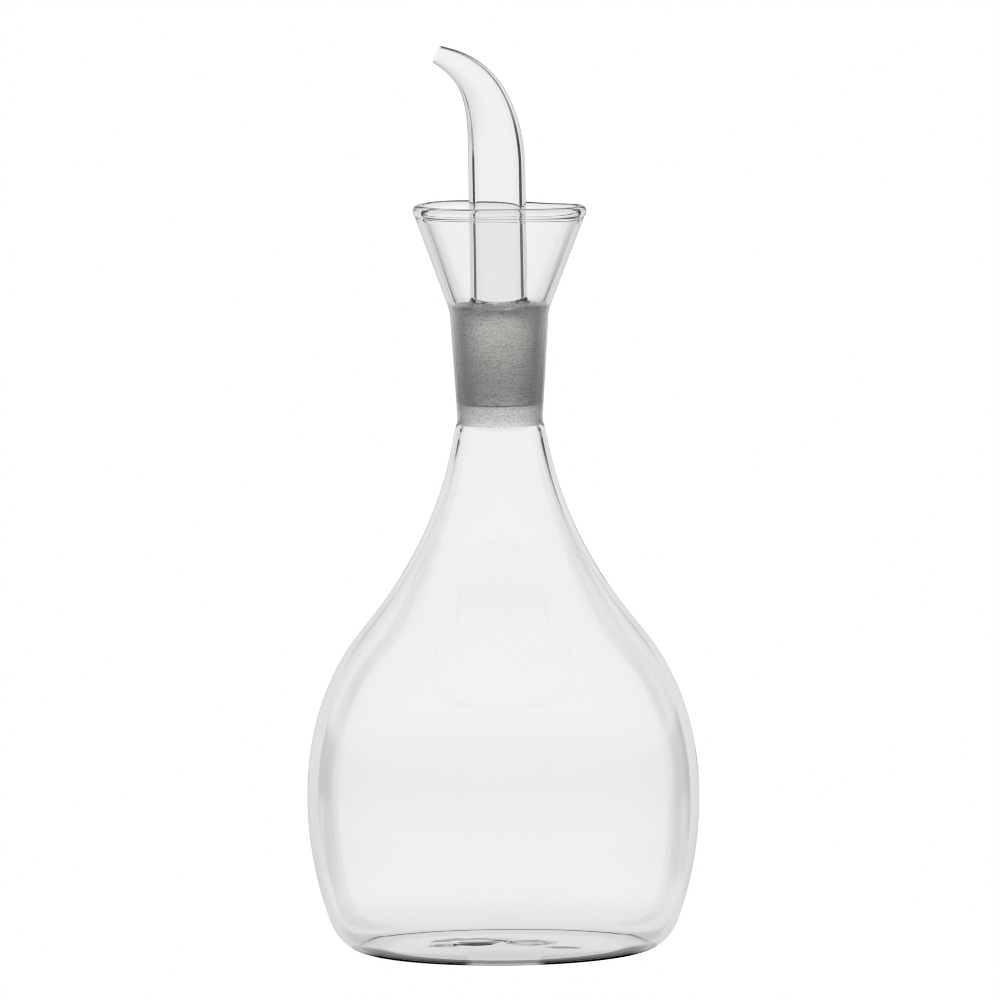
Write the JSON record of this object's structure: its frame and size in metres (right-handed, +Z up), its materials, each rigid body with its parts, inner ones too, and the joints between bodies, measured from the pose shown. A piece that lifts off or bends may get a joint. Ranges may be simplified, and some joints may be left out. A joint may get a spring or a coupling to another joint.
{
  "type": "glass cruet",
  "caption": "Clear blown glass cruet for oil or vinegar: a pear-shaped flask with a flared drip cup and a loose ground stopper that rises into a bent pouring spout",
  "frame": {"origin": "Centre of the base, on the plane the cruet stands on", "axes": "+Z up along the axis of the flask, the spout points towards -X, +Y away from the viewer of the picture"},
  "size_m": [0.0982, 0.0982, 0.2261],
  "materials": {
    "bottle_glass": "clear polished glass with a ground band in the neck",
    "stopper_glass": "clear polished glass with a ground cone"
  },
  "bodies": {
    "root": {"bottle": "bottle_glass", "spout_stopper": "stopper_glass"}
  },
  "joints": []
}
